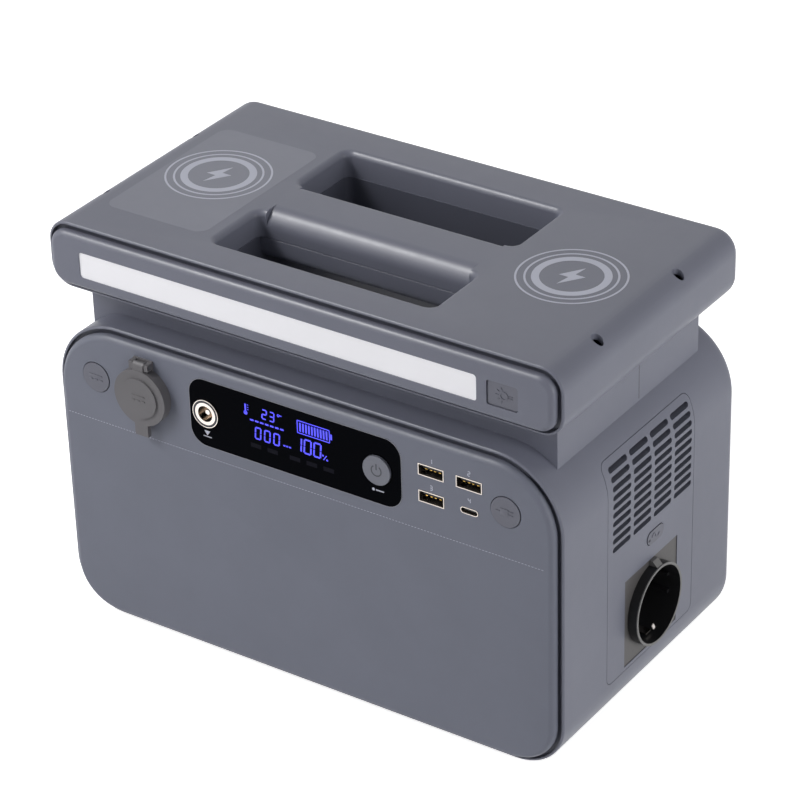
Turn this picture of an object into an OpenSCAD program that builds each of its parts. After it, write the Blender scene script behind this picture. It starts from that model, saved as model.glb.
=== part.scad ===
// Portable power station: rounded housing, waisted neck and a flat carrying head.
// Millimetres, +Z up, front toward -Y, origin on the floor under the middle of the whole outline.

/* [Housing] */
// Width of the housing and of the head
body_w = 269; // [258:1:290]
// Depth from the front plate to the rear cover
body_d = 152; // [147:1:165]
// Height of the housing above its feet
body_h = 155.5; // [151:0.5:170]
// Radius of the housing's upper corners
top_r = 34; // [32:1:38]
// Radius of the housing's lower corners
bottom_r = 25; // [22:1:30]
// Rounding of the rear outer edge
edge_r = 6; // [4:0.5:7]
// Thickness of the outer shells
wall = 3; // [2.4:0.1:3.4]
// Height of the rubber feet
foot_h = 2.5; // [2:0.5:5]

/* [Head] */
// Thickness of the carrying head
head_t = 32.5; // [31:0.5:35]
// Clear height between the housing and the head
neck_gap = 15; // [12:0.5:20]
// Radius of the head's side edges
head_r = 11; // [10:0.5:13]
// Length of each hand pocket
pocket_l = 115.6; // [100:0.2:124]
// Width of the front hand pocket
front_pocket_w = 34.4; // [32:0.2:36]
// Width of the rear hand pocket
rear_pocket_w = 38.6; // [34:0.2:40]
// Width of the grip bar between the pockets
grip_w = 30.4; // [26:0.2:32]
// Depth of the hand pockets below the top
pocket_depth = 38; // [34:0.5:42]

/* [Light] */
// Distance from the head's left side to the light bar
light_left = 19.5; // [16:0.1:24]
// Room that the light bar leaves on the right for its button
light_right = 40.3; // [36:0.1:46]
// Height of the light bar
light_h = 12.6; // [10:0.1:13.4]
// Width of the light button
light_key_w = 14.8; // [12:0.1:15.4]

/* [Front controls] */
// Radius of the two rubber-feel front buttons
key_r = 7.3; // [6:0.1:8]
// Travel of every push button
key_travel = 1.2; // [0.8:0.1:1.4]
// Height of the display window
window_h = 34.5; // [32:0.1:38]
// Inner radius of the vehicle socket
car_r = 10.6; // [10.2:0.1:10.8]
// Radius of the vehicle socket's cap
cap_r = 14; // [13.4:0.1:14.4]
// How far the cap stands out
cap_out = 5.8; // [5:0.1:7]
// Width of a wide port
port_w = 13.1; // [12.8:0.1:13.4]
// Height of a wide port
port_h = 5.7; // [5.5:0.1:6]

/* [Side] */
// Side of the square outlet plate
outlet_s = 45.4; // [44:0.2:46]
// Inner radius of the outlet well
well_r = 18.4; // [18:0.1:19]
// How far the outlet's collar stands out
collar_h = 4.5; // [3:0.5:6]
// Rows of louvre slots
vent_rows = 10; // [8:1:10]
// Columns of louvre slots
vent_cols = 4; // [3:1:4]

/* [Inside] */
// Radius of a battery cell
cell_r = 9.1; // [8.9:0.05:9.2]
// Length of a battery cell
cell_l = 65; // [60:1:68]
// Rows of battery cells
cell_rows = 4; // [3:1:4]
// Side of a cooling fan
fan_s = 50; // [46:1:50]

/* [Part to show] */
// One node's name, or all

/* [Hidden] */
$fn = 64;
half_w = body_w / 2;
y_f = -body_d / 2;
y_r = body_d / 2;
z_b = foot_h;
z_t = z_b + body_h;
z_h = z_t + neck_gap;
z_top = z_h + head_t;

plate_in = 3;
plate_e = 2.8;
plate_back = 5;
rim_y = y_f + 3.9;
rim_soft = 0.9;
rim_w = 1.2;
bezel_t = 12;
panel_t = 4;
rear_t = 9;
panel_back = y_f + panel_t;
free = 0.3;
seam = 0.25;
eps = 0.01;

// Controls sit on one line, measured down from the housing's top
ctl_z = z_t - 25.7;
dc_x = -half_w + 24;
usb_key_x = half_w - 26.3;
cap_x = -half_w + 52.2;
port_x = [half_w - 63.9, half_w - 44.6];
port_z = [ctl_z + 7.6, ctl_z - 5.7];
window_x0 = cap_x + 24.4;
window_x1 = port_x[0] - 15.1;
window_w = window_x1 - window_x0;
window_x = (window_x0 + window_x1) / 2;
window_r = 8.5;
window_t = 1.5;
jack_x = window_x0 + 9.1;
jack_r = 6.9;
power_x = window_x1 - 12.6;
power_r = 7.1;
lcd_w = 56;
lcd_h = 22;
lcd_x = (jack_x + power_x) / 2 - 2;
board_y = y_f + 14;
board_t = 1.6;
board_posts = [[dc_x + 10.5, 8.5], [dc_x + 10.5, -13.5], [window_x1, 8.5], [window_x1, -13.5],
  [usb_key_x, -13.5]];
hinge_y = y_f - 3;
hinge_z = ctl_z + cap_r + 2;

// Neck between the housing and the head
neck_w = body_w - 22.4;
tub_wall = 2.4;
grip_y = -3.2;
well_y0 = grip_y - grip_w / 2 - front_pocket_w;
well_y1 = grip_y + grip_w / 2 + rear_pocket_w;
neck_y0 = well_y0 - tub_wall - wall - 0.8;
neck_y1 = well_y1 + tub_wall + wall + 3.5;

// Head
fascia_t = 10;
head_wall = 2.6;
base_t = 3;
light_l = body_w - light_left - light_right;
light_x = -half_w + light_left + light_l / 2;
light_z = z_h + 15.3;
light_x1 = light_x + light_l / 2;
key_board_y = y_f + 8.7 + key_travel;
light_key_x = light_x1 + 5.3 + light_key_w / 2;
light_key_h = 11.2;
pocket_r = 4;
skirt = 12.6;
rim_e = 3;
grip_e = [9, 5];
grip_cap = 12.2;
grip_low = 24;
tub_proud = 0.4;
coil_x = half_w - 40.8;
coil_y = grip_y + 3.9;
hole_x = half_w - 5;
hole_y = 33.4;

// Side vents and outlet
vent_y0 = y_f + 39.8;
vent_y1 = y_r - 37.8;
vent_z0 = z_b + 25.4;
vent_z1 = z_t - top_r + 17.7;
slot_h = 2.7;
row_pitch = (vent_z1 - vent_z0) / 25.8;
col_pitch = (vent_y1 - vent_y0 - 4.5) / vent_cols;
slot_z = vent_z1 - 4.9;
outlet_y = y_f + 77.6;
outlet_z = vent_z0 + outlet_s / 2 + 2;
ac_y = outlet_y + 3;
ac_z = outlet_z + outlet_s / 2 + 11;
ac_l = 14;
ac_h = 6.6;
well_wall = 1.2;
well_depth = 17.5;
well_floor_x = half_w + collar_h - well_depth;

// Battery pack and power deck
cell_pitch = 2 * cell_r + 0.8;
pack_x0 = -half_w + 17.5;
cell_cols = floor((body_w - 73) / cell_pitch);
pack_w = cell_cols * cell_pitch;
pack_x = pack_x0 + pack_w / 2;
cradle_h = 9;
pack_z0 = z_b + wall + cradle_h;
pack_h = cell_rows * cell_pitch;
pack_z1 = pack_z0 + pack_h;
holder_t = 6;
pack_y = 8;
deck_z = pack_z0 + 4 * cell_pitch + 0.4;
deck_t = 2;
deck_top = deck_z + deck_t;
fan_t = 15;
fan_x = half_w - 16 - fan_t;
fan_y = neck_y0 / 2 + neck_y1 / 2;
fan_z = deck_top + fan_s / 2;
inv_z = deck_top + 5;
inv_l = 132;
inv_d = 50;
sink_l = 90;
sink_h = 24;

shell_c = [0.42, 0.43, 0.48];
dark_c = [0.12, 0.12, 0.13];
metal_c = [0.75, 0.75, 0.72];
board_c = [0.1, 0.35, 0.2];

// Moves a piece from the housing's middle to the middle of the whole outline
module placed() {
  translate([-collar_h / 2, cap_out / 2, 0]) children();
}

// Outline with the upper and lower corners rounded, its y standing for height
module outline(w, z0, z1, rt, rb) {
  hw = w / 2;
  polygon([[-hw + rb, z0], [hw - rb, z0], [hw, z0 + rb], [hw, z1 - rt],
    [hw - rt, z1], [-hw + rt, z1], [-hw, z1 - rt], [-hw, z0 + rb]]);
  for (s = [-1, 1]) {
    translate([s * (hw - rb), z0 + rb]) circle(rb);
    translate([s * (hw - rt), z1 - rt]) circle(rt);
  }
}

// The housing's outline, moved inward
module body_outline(in) {
  outline(body_w - 2 * in, z_b + in, z_t - in, top_r - in, bottom_r - in);
}

// The head's outline, moved inward
module head_outline(in) {
  outline(body_w - 2 * in, z_h + in, z_top - in, head_r - in, head_r - in);
}

module rounded(w, h, r) {
  translate([0, -h / 2]) outline(w, 0, h, r, r);
}

module along_y(y0, y1) {
  translate([0, y1, 0]) rotate([90, 0, 0]) linear_extrude(y1 - y0) children();
}

module along_x(x0, x1) {
  translate([x0, 0, 0]) rotate([90, 0, 90]) linear_extrude(x1 - x0) children();
}

// Cylinder along Y
module rod_y(x, z, r, y0, y1) {
  translate([x, y1, z]) rotate([90, 0, 0]) cylinder(r = r, h = y1 - y0);
}

// Cylinder along X
module rod_x(y, z, r, x0, x1) {
  translate([x0, y, z]) rotate([0, 90, 0]) cylinder(r = r, h = x1 - x0);
}

module block(x0, x1, y0, y1, z0, z1) {
  translate([x0, y0, z0]) cube([x1 - x0, y1 - y0, z1 - z0]);
}

module quarter(e) {
  intersection() {
    translate([0, e]) circle(e);
    square(e);
  }
}

module edge_run(x, z, turn, len, e) {
  translate([x, z, 0]) rotate([0, 0, 90 * turn]) rotate([90, 0, 0])
    linear_extrude(len) quarter(e);
}

module edge_corner(x, z, turn, r, e) {
  translate([x, z, 0]) rotate([0, 0, 90 * turn])
    rotate_extrude(angle = 90) translate([r - e, 0]) quarter(e);
}

// Plate whose face at z = 0 has rounded edges
module soft_plate(w, z0, z1, rt, rb, t, e) {
  hw = w / 2;
  translate([0, 0, e]) linear_extrude(t - e) outline(w, z0, z1, rt, rb);
  linear_extrude(e) outline(w - 2 * e, z0 + e, z1 - e, rt - e, rb - e);
  edge_run(hw - e, z1 - rt, 0, z1 - rt - z0 - rb, e);
  edge_run(-hw + rt, z1 - e, 1, w - 2 * rt, e);
  edge_run(-hw + e, z0 + rb, 2, z1 - rt - z0 - rb, e);
  edge_run(hw - rb, z0 + e, 3, w - 2 * rb, e);
  edge_corner(hw - rt, z1 - rt, 0, rt, e);
  edge_corner(-hw + rt, z1 - rt, 1, rt, e);
  edge_corner(-hw + rb, z0 + rb, 2, rb, e);
  edge_corner(hw - rb, z0 + rb, 3, rb, e);
}

module facing_front(y) {
  mirror([0, 1, 0]) translate([0, -y, 0]) rotate([90, 0, 0]) children();
}

module facing_rear(y) {
  translate([0, y, 0]) rotate([90, 0, 0]) children();
}

// ---- Housing ----

module vent_window(grow) {
  translate([(vent_y0 + vent_y1) / 2, 0])
    outline(vent_y1 - vent_y0 + 2 * grow, vent_z0 - grow, vent_z1 + grow, 4 + grow, 4 + grow);
}

module body_shell() color(shell_c) placed() difference() {
  union() {
    along_y(y_f + bezel_t, y_r - rear_t) body_outline(0);
    block(-neck_w / 2, neck_w / 2, neck_y0, neck_y1, z_t - top_r + 21.4, z_h);
  }
  along_y(y_f, y_r) body_outline(wall);
  block(-neck_w / 2 + wall, neck_w / 2 - wall, neck_y0 + wall, neck_y1 - wall,
    z_t - top_r + 21.4 - eps, z_h + eps);
  for (s = [-1, 1]) along_x(s > 0 ? half_w - wall - top_r : -half_w - 1,
    s > 0 ? half_w + 1 : -half_w + wall + top_r) vent_window(0);
}

module front_bezel() color(shell_c) placed() {
  difference() {
    facing_front(rim_y)
      soft_plate(body_w, z_b, z_t, top_r, bottom_r, y_f + bezel_t - rim_y, rim_soft);
    along_y(y_f, y_f + bezel_t + 1) body_outline(rim_w);
  }
  along_y(y_f + 7, y_f + bezel_t) difference() {
    body_outline(rim_w - eps);
    body_outline(plate_back + 3);
  }
}

module port_holes(grow) {
  for (p = [[0, 0], [1, 0], [0, 1]])
    translate([port_x[p[0]], port_z[p[1]]]) square([port_w + grow, port_h + grow], center = true);
  translate([port_x[1], port_z[1]]) rounded(9 + grow, 3.2 + grow, 1.6 + grow / 2 - eps);
}

module front_panel() color(shell_c) placed() difference() {
  union() {
    facing_front(y_f) soft_plate(body_w - 2 * plate_in, z_b + plate_in, z_t - plate_in,
      top_r - plate_in, bottom_r - plate_in, panel_t, plate_e);
    along_y(panel_back - eps, y_f + 7) difference() {
      body_outline(plate_back);
      body_outline(plate_back + 3);
    }
  }
  along_y(y_f - 1, y_f + window_t) translate([window_x, ctl_z]) rounded(window_w, window_h, window_r);
  along_y(y_f, panel_back + 1) translate([lcd_x, ctl_z]) square([lcd_w, lcd_h], center = true);
  along_y(y_f - 1, panel_back + 1) port_holes(0);
  rod_y(jack_x, ctl_z, jack_r - 1, y_f, panel_back + 1);
  rod_y(power_x, ctl_z, power_r + free, y_f, panel_back + 1);
  rod_y(dc_x, ctl_z, key_r + free, y_f - 1, panel_back + 1);
  rod_y(usb_key_x, ctl_z, key_r + free, y_f - 1, panel_back + 1);
  rod_y(cap_x, ctl_z, car_r + 1.4, y_f - 1, panel_back + 1);
}

module rear_cover() color(shell_c) placed() difference() {
  facing_rear(y_r) soft_plate(body_w, z_b, z_t, top_r, bottom_r, rear_t, edge_r);
  along_y(y_r - rear_t - 1, y_r - wall) body_outline(edge_r + 0.5);
  rear_screw_places() rotate([90, 0, 0]) cylinder(r = 3.6, h = 1.2);
  rear_screw_places() rotate([90, 0, 0]) cylinder(r = 1.6, h = 20);
}

module rear_screw_places() {
  for (x = [-1, 1]) for (z = [z_b + 30, z_t - 30]) translate([x * (half_w - 22), y_r, z]) children();
}

module rear_screws() color(metal_c) placed() rear_screw_places() rotate([90, 0, 0]) {
  difference() {
    translate([0, 0, 0.2]) cylinder(r = 3.2, h = 1);
    translate([-0.4, -2, 0]) cube([0.8, 4, 0.7]);
    translate([-2, -0.4, 0]) cube([4, 0.8, 0.7]);
  }
  translate([0, 0, 1.2 - eps]) cylinder(r = 1.5, h = 6);
}

module feet() color(dark_c) placed()
  for (x = [-1, 1]) for (y = [y_f + 22, y_r - 22])
    translate([x * (half_w - 50), y, 0]) cylinder(r = 8, h = foot_h);

// ---- Head ----

module pocket_2d(y0, y1, grow) {
  translate([0, (y0 + y1) / 2])
    rounded(pocket_l + 2 * grow, y1 - y0 + 2 * grow, pocket_r + grow);
}

module pockets_2d(grow) {
  pocket_2d(well_y0, grip_y - grip_w / 2, grow);
  pocket_2d(grip_y + grip_w / 2, well_y1, grow);
}

module well_2d(grow) {
  pocket_2d(well_y0, well_y1, grow);
}

// What rounding a rim takes away: outward from the wall, and down from the top
module rim_spandrel(e) {
  difference() {
    translate([-eps, -eps]) square(e + eps);
    translate([e, e]) circle(e);
  }
}

// Straight cut that rounds the rim on the side the turn points to
module rim_run(length, depth, e) {
  translate([-length / 2, depth / 2, 0]) rotate([90, 0, 90])
    linear_extrude(length) rim_spandrel(e);
}

// Cut that rounds the whole rim of one pocket, in a frame whose z points down; the bar is at +Y
module rim_cut(l, w, r, e, bar_e) {
  rim_run(l - 2 * r, w, bar_e);
  for (a = [90, 180, 270]) rotate([0, 0, a]) rim_run((a == 180 ? l : w) - 2 * r, a == 180 ? w : l, e);
  for (x = [0, 1]) for (y = [0, 1]) mirror([x, 0, 0]) mirror([0, y, 0])
    translate([l / 2 - r, w / 2 - r, 0]) rotate_extrude(angle = 90) translate([r, 0]) rim_spandrel(e);
}

module pocket_rims() {
  translate([0, grip_y - (grip_w + front_pocket_w) / 2, z_top]) mirror([0, 0, 1])
    rim_cut(pocket_l, front_pocket_w, pocket_r, rim_e, grip_e[0]);
  translate([0, grip_y + (grip_w + rear_pocket_w) / 2, z_top]) mirror([0, 0, 1])
    rotate([0, 0, 180]) rim_cut(pocket_l, rear_pocket_w, pocket_r, rim_e, grip_e[1]);
}

module base_2d(in) {
  translate([0, (y_f + fascia_t + y_r) / 2])
    square([body_w - 2 * head_r - 2 * in, body_d - fascia_t - 16 - 2 * in], center = true);
}

module head_screw_places() {
  for (x = [-1, 1]) for (y = [-1, 1])
    translate([x * hole_x, grip_y - 1 + y * hole_y, 0]) children();
}

module head_cover() color(shell_c) placed() difference() {
  union() {
    difference() {
      union() {
        facing_rear(y_r) soft_plate(body_w, z_h, z_top, head_r, head_r, body_d - 2 * fascia_t, edge_r);
        facing_front(rim_y) soft_plate(body_w, z_h, z_top, head_r, head_r, 2 * fascia_t, rim_soft);
      }
      along_y(y_f, y_f + fascia_t) head_outline(rim_w);
      along_y(y_f + fascia_t - eps, y_r - edge_r) head_outline(head_wall);
    }
    translate([0, 0, z_top - skirt]) linear_extrude(skirt - 1) pockets_2d(tub_wall);
    block(-pocket_l / 2, pocket_l / 2, grip_y - grip_w / 2 + eps, grip_y + grip_w / 2 - eps,
      z_top - grip_cap, z_top - 1);
    intersection() {
      head_screw_places() translate([0, 0, z_h]) cylinder(r = 3.4, h = head_t - 9);
      along_y(y_f + fascia_t, y_r - edge_r) head_outline(0.5);
    }
  }
  translate([0, 0, z_top - skirt - 1]) linear_extrude(skirt + 2) pockets_2d(0);
  pocket_rims();
  translate([0, 0, z_h - 1]) linear_extrude(base_t + 1) base_2d(0);
  head_screw_places() {
    translate([0, 0, z_h + 13]) cylinder(r = 2.7, h = head_t);
    translate([0, 0, z_h - 1]) cylinder(r = 1.6, h = head_t);
  }
}

module head_base() color(shell_c) placed() difference() {
  translate([0, 0, z_h]) linear_extrude(base_t) base_2d(seam);
  translate([0, 0, z_h - 1]) linear_extrude(base_t + 2) well_2d(tub_wall);
  neck_screw_places() translate([0, 0, z_h - 1]) cylinder(r = 1.6, h = base_t + 2);
  for (s = [-1, 1]) translate([s * coil_x, grip_y, z_h - 1]) cylinder(r = 6, h = base_t + 2);
}

module neck_screw_places() {
  for (x = [-1, 1]) for (y = [neck_y0 + 9, neck_y1 - 9])
    translate([x * (neck_w / 2 - 9), y, 0]) children();
}

module head_fascia() color(shell_c) placed() difference() {
  union() {
    facing_front(y_f) soft_plate(body_w - 2 * plate_in, z_h + plate_in, z_top - plate_in,
      head_r - plate_in, head_r - plate_in, panel_t, plate_e);
    along_y(panel_back - eps, y_f + 7) head_outline(plate_back);
    along_y(y_f + 7 - eps, y_f + fascia_t) head_outline(rim_w + seam);
  }
  along_y(y_f + 5, y_f + fascia_t + 1) head_outline(7);
  along_y(y_f - 1, y_f + 6) translate([light_x, light_z]) rounded(light_l, light_h, 1.6);
  along_y(y_f - 1, y_f + 6) translate([light_key_x, light_z])
    rounded(light_key_w + 2 * free, light_key_h + 2 * free, 1.2);
}

module light_lens() color([0.95, 0.95, 0.97]) placed()
  along_y(y_f + 0.4, y_f + 5) translate([light_x, light_z]) rounded(light_l, light_h, 1.6);

module light_strip() color(board_c) placed() {
  along_y(y_f + 6.2, y_f + 7.4) translate([light_x, light_z]) square([light_l - 4, 9], center = true);
  for (i = [-10:10])
    along_y(y_f + 5, y_f + 6.2) translate([light_x + i * light_l / 22, light_z])
      square([3, 3], center = true);
  block(light_x1 - 7, light_x1 - 2, y_f + 7.4 - eps, key_board_y + eps, light_z - 4.5, light_z + 4.5);
  block(light_x1 - 7, light_key_x + 7, key_board_y, key_board_y + 1.2, light_z - 4.5, light_z + 4.5);
  block(light_key_x - 2, light_key_x + 2, key_board_y - 0.4, key_board_y + eps, light_z - 2, light_z + 2);
}

module light_button() color(shell_c) placed() {
  along_y(y_f + 0.6, y_f + 5.2) translate([light_key_x, light_z])
    rounded(light_key_w, light_key_h, 1);
  along_y(y_f + 5, y_f + 6.2) translate([light_key_x, light_z])
    square([light_key_w + 1.6, light_key_h + 1.6], center = true);
  rod_y(light_key_x, light_z, 1.8, y_f + 6, y_f + 8);
}

module handle_tub() color(shell_c) placed() difference() {
  translate([0, 0, z_top - pocket_depth - tub_wall]) linear_extrude(pocket_depth + tub_wall - skirt)
    well_2d(tub_wall - eps);
  translate([0, 0, z_top - pocket_depth]) linear_extrude(pocket_depth) well_2d(-tub_proud);
}

// Lower half of the grip, spanning the tub under the bar
module grip_insert() color(shell_c) placed() {
  span = pocket_l / 2 - tub_proud;
  inner = grip_w / 2 - tub_wall - 0.5;
  block(-span, span, grip_y - inner, grip_y + inner, z_top - skirt - 1, z_top - grip_cap);
  along_x(-span, span) translate([grip_y, 0])
    outline(grip_w - 0.4, z_top - grip_low, z_top - skirt - 0.4, 0.5, 5);
}

module head_screws() color(metal_c) placed() head_screw_places() {
  difference() {
    translate([0, 0, z_h + 13]) cylinder(r = 2.5, h = 2);
    translate([-0.4, -1.6, z_h + 14.2]) cube([0.8, 3.2, 1]);
    translate([-1.6, -0.4, z_h + 14.2]) cube([3.2, 0.8, 1]);
  }
  translate([0, 0, z_h + 3]) cylinder(r = 1.5, h = 10 + eps);
}

module neck_screws() color(metal_c) placed() neck_screw_places() {
  translate([0, 0, z_h + base_t]) cylinder(r = 3, h = 2);
  translate([0, 0, z_h - 6]) cylinder(r = 1.5, h = 6 + base_t + eps);
}

module charging_coils() color([0.72, 0.42, 0.2]) placed() for (s = [-1, 1])
  translate([s * coil_x, coil_y, z_top - head_wall - 1.6]) difference() {
    cylinder(r = 22, h = 1.6);
    translate([0, 0, -1]) cylinder(r = 10, h = 4);
  }

module coil_shields() color(dark_c) placed() for (s = [-1, 1])
  translate([s * coil_x, coil_y, z_top - head_wall - 3.2]) cylinder(r = 25, h = 1.6);

// ---- Vents and outlet ----

module slots_2d() {
  for (c = [0:vent_cols - 1]) for (r = [0:vent_rows - 1])
    translate([vent_y0 + 3.2 + (c + 0.5) * col_pitch, slot_z - r * row_pitch])
      rounded(col_pitch - 2.4, slot_h, slot_h / 2 - eps);
}

// A side panel, built on the right; the mirrored one has no outlet
module vent_panel() difference() {
  union() {
    intersection() {
      along_y(vent_y0 + seam, vent_y1 - seam) difference() {
        body_outline(0);
        body_outline(wall);
      }
      along_x(0, half_w + 1) vent_window(-seam);
    }
    intersection() {
      along_y(vent_y0 - 3, vent_y1 + 3) difference() {
        body_outline(wall);
        body_outline(wall + 1.6);
      }
      along_x(0, half_w + 1) difference() {
        vent_window(3);
        vent_window(-1.2);
      }
    }
  }
  along_x(half_w - top_r, half_w + 1) slots_2d();
}

module vent_panel_right() color(shell_c) placed() difference() {
  vent_panel();
  along_x(half_w - wall - 1, half_w + 1) translate([outlet_y, outlet_z])
    square([outlet_s, outlet_s], center = true);
  along_x(half_w - wall - 1, half_w + 1) translate([ac_y, ac_z])
    rounded(ac_l + 2 * free, ac_h + 2 * free, ac_h / 2 + free - eps);
}

module vent_panel_left() color(shell_c) placed() mirror([1, 0, 0]) vent_panel();

module outlet_plate() color([0.38, 0.37, 0.36]) placed() difference() {
  along_x(half_w - wall, half_w - 0.3) translate([outlet_y, outlet_z])
    square([outlet_s, outlet_s], center = true);
  rod_x(outlet_y, outlet_z, well_r + well_wall, half_w - wall - 1, half_w + 1);
}

// Flange behind the plate, lifted clear of the panel's lower curve
module outlet_flange() intersection() {
  along_x(half_w - wall - 2, half_w - wall) translate([outlet_y, outlet_z])
    square([outlet_s + 1.4, outlet_s + 1.4], center = true);
  along_y(outlet_y - outlet_s, outlet_y + outlet_s) translate([0, 0.6]) body_outline(wall);
}

module outlet_well() color(dark_c) placed() {
  difference() {
    union() {
      rod_x(outlet_y, outlet_z, well_r + well_wall, well_floor_x - 3, half_w + collar_h);
      outlet_flange();
    }
    rod_x(outlet_y, outlet_z, well_r, well_floor_x, half_w + collar_h + 1);
    for (s = [-1, 1]) rod_x(outlet_y + s * 9.5, outlet_z, 2.6, well_floor_x - 4, well_floor_x + 1);
  }
  for (s = [-1, 1]) for (z = [-1, 1]) block(well_floor_x - eps, half_w - 1,
    outlet_y + s * (well_r - 1.2) - 0.9, outlet_y + s * (well_r - 1.2) + 0.9,
    outlet_z + z * 4.6 - 0.7, outlet_z + z * 4.6 + 0.7);
}

module outlet_contacts() color([0.8, 0.65, 0.35]) placed() for (s = [-1, 1]) difference() {
  rod_x(outlet_y + s * 9.5, outlet_z, 3.8, well_floor_x - 15, well_floor_x - 3);
  rod_x(outlet_y + s * 9.5, outlet_z, 2.6, well_floor_x - 13, well_floor_x - 2);
}

module earth_clips() color(metal_c) placed() for (s = [-1, 1])
  block(well_floor_x, half_w - 1, outlet_y - 2.2, outlet_y + 2.2,
    outlet_z + s * (well_r - 1.3) - 0.4, outlet_z + s * (well_r - 1.3) + 0.4);

module ac_button() color(shell_c) placed() {
  along_x(half_w - wall - 0.2, half_w + 0.3) translate([ac_y, ac_z])
    rounded(ac_l, ac_h, ac_h / 2 - eps);
  along_x(half_w - wall - 1.2, half_w - wall) translate([ac_y, ac_z])
    square([ac_l + 2.4, ac_h + 1.6], center = true);
  rod_x(ac_y, ac_z, 1.6, half_w - wall - 3, half_w - wall - 1);
}

// Small board with the outlet's switch, hung from the side panel
module ac_switch_bracket() color(board_c) placed() {
  back = half_w - wall - 3 - key_travel - 0.3;
  block(back - 1, back, ac_y - 2, ac_y + 2, ac_z - 2, ac_z + 2);
  block(back - 2.6, back - 1 + eps, ac_y - 16, ac_y + 16, ac_z - 4, ac_z + 4);
  for (s = [-1, 1])
    block(back - 1, half_w - wall, ac_y + s * 14 - 1.5, ac_y + s * 14 + 1.5, ac_z - 2, ac_z + 1.8);
}

// ---- Front controls ----

module display_window() color([0.02, 0.02, 0.03]) placed() difference() {
  along_y(y_f, y_f + window_t) translate([window_x, ctl_z]) rounded(window_w, window_h, window_r);
  rod_y(jack_x, ctl_z, jack_r, y_f - 1, y_f + 2);
  rod_y(power_x, ctl_z, power_r + free, y_f - 1, y_f + 2);
}

module display_module() color([0.1, 0.1, 0.2]) placed()
  along_y(y_f + window_t, board_y)
    translate([lcd_x, ctl_z]) square([lcd_w - 0.6, lcd_h - 0.6], center = true);

module control_board() color(board_c) placed() {
  difference() {
    block(dc_x - 5, usb_key_x + 5, board_y, board_y + board_t, ctl_z - 16, ctl_z + 11);
    rod_y(cap_x, ctl_z, car_r + 1.7, board_y - 1, board_y + 3);
  }
  for (p = board_posts) rod_y(p[0], ctl_z + p[1], 2.4, panel_back, board_y + eps);
}

module tact_switches() color(dark_c) placed() for (x = [dc_x, usb_key_x, power_x])
  along_y(board_y - 3.4, board_y) translate([x, ctl_z]) square([6, 6], center = true);

// Round push button standing free in its hole, held back by a flange
module round_button(x, r, proud) {
  rod_y(x, ctl_z, r, y_f - proud, panel_back + 0.2);
  rod_y(x, ctl_z, r + 1.4, panel_back, panel_back + 1.2);
  rod_y(x, ctl_z, 1.8, panel_back + 1, board_y - 3.4 - key_travel - 0.3);
}

module dc_button() color(shell_c) placed() round_button(dc_x, key_r, 0.3);

module usb_button() color(shell_c) placed() round_button(usb_key_x, key_r, 0.3);

module power_button() color([0.5, 0.51, 0.54]) placed() round_button(power_x, power_r, 1);

module input_jack() color(metal_c) placed() difference() {
  union() {
    rod_y(jack_x, ctl_z, jack_r, y_f - 0.8, y_f + window_t);
    rod_y(jack_x, ctl_z, jack_r - 1, y_f + window_t - eps, board_y);
  }
  rod_y(jack_x, ctl_z, 3.9, y_f - 2, board_y - 2);
}

module input_pin() color(metal_c) placed() rod_y(jack_x, ctl_z, 1.2, y_f + 1, board_y - 2);

module car_socket() color(metal_c) placed() difference() {
  rod_y(cap_x, ctl_z, car_r + 1.4, y_f, y_f + 47);
  rod_y(cap_x, ctl_z, car_r, y_f - 1, y_f + 45);
}

module car_contact() color([0.8, 0.65, 0.35]) placed() rod_y(cap_x, ctl_z, 3, y_f + 41, y_f + 45);

module socket_flange() color([0.45, 0.44, 0.42]) placed() difference() {
  union() {
    rod_y(cap_x, ctl_z, cap_r, y_f - 2.2, y_f);
    block(cap_x - 5.2, cap_x + 5.2, y_f - 0.8, y_f, ctl_z + cap_r - 2, hinge_z + 2);
    for (s = [-1, 1]) block(cap_x + s * 4.2 - 1, cap_x + s * 4.2 + 1,
      hinge_y - 1.3, y_f, ctl_z + cap_r + 0.3, hinge_z + 1.6);
  }
  rod_y(cap_x, ctl_z, car_r, y_f - 3, y_f + 1);
  rod_x(hinge_y, hinge_z, 0.9, cap_x - 6, cap_x + 6);
}

module cap_pin() color(metal_c) placed() rod_x(hinge_y, hinge_z, 0.9, cap_x - 5.2, cap_x + 5.2);

module socket_cap() color([0.45, 0.44, 0.42]) placed() difference() {
  union() {
    rod_y(cap_x, ctl_z, cap_r, y_f - 5, y_f - 2.2);
    rod_y(cap_x, ctl_z, cap_r - 4.2, y_f - cap_out, y_f - 4.9);
    rod_y(cap_x, ctl_z, car_r - 1.4, y_f - 2.3, y_f - 0.2);
    along_y(y_f - 5, y_f - 2.8) translate([cap_x, ctl_z - cap_r - 2])
      square([7.2, 7], center = true);
    rod_x(hinge_y, hinge_z, 1.8, cap_x - 2.9, cap_x + 2.9);
    block(cap_x - 2.9, cap_x + 2.9, y_f - 4.8, y_f - 3, ctl_z + cap_r - 2, hinge_z);
  }
  rod_x(hinge_y, hinge_z, 0.95, cap_x - 4, cap_x + 4);
}

module port_shells() color(metal_c) placed() difference() {
  along_y(y_f - 0.2, board_y) for (p = [[0, 0], [1, 0], [0, 1]])
    translate([port_x[p[0]], port_z[p[1]]]) square([port_w, port_h], center = true);
  along_y(y_f - 1, board_y - 1) for (p = [[0, 0], [1, 0], [0, 1]])
    translate([port_x[p[0]], port_z[p[1]]]) square([port_w - 0.8, port_h - 0.8], center = true);
}

module port_tongues() color(dark_c) placed() along_y(y_f + 2, board_y - 1) for (p = [[0, 0], [1, 0], [0, 1]])
  translate([port_x[p[0]], port_z[p[1]] + 0.9]) square([10.8, 1.9], center = true);

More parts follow.
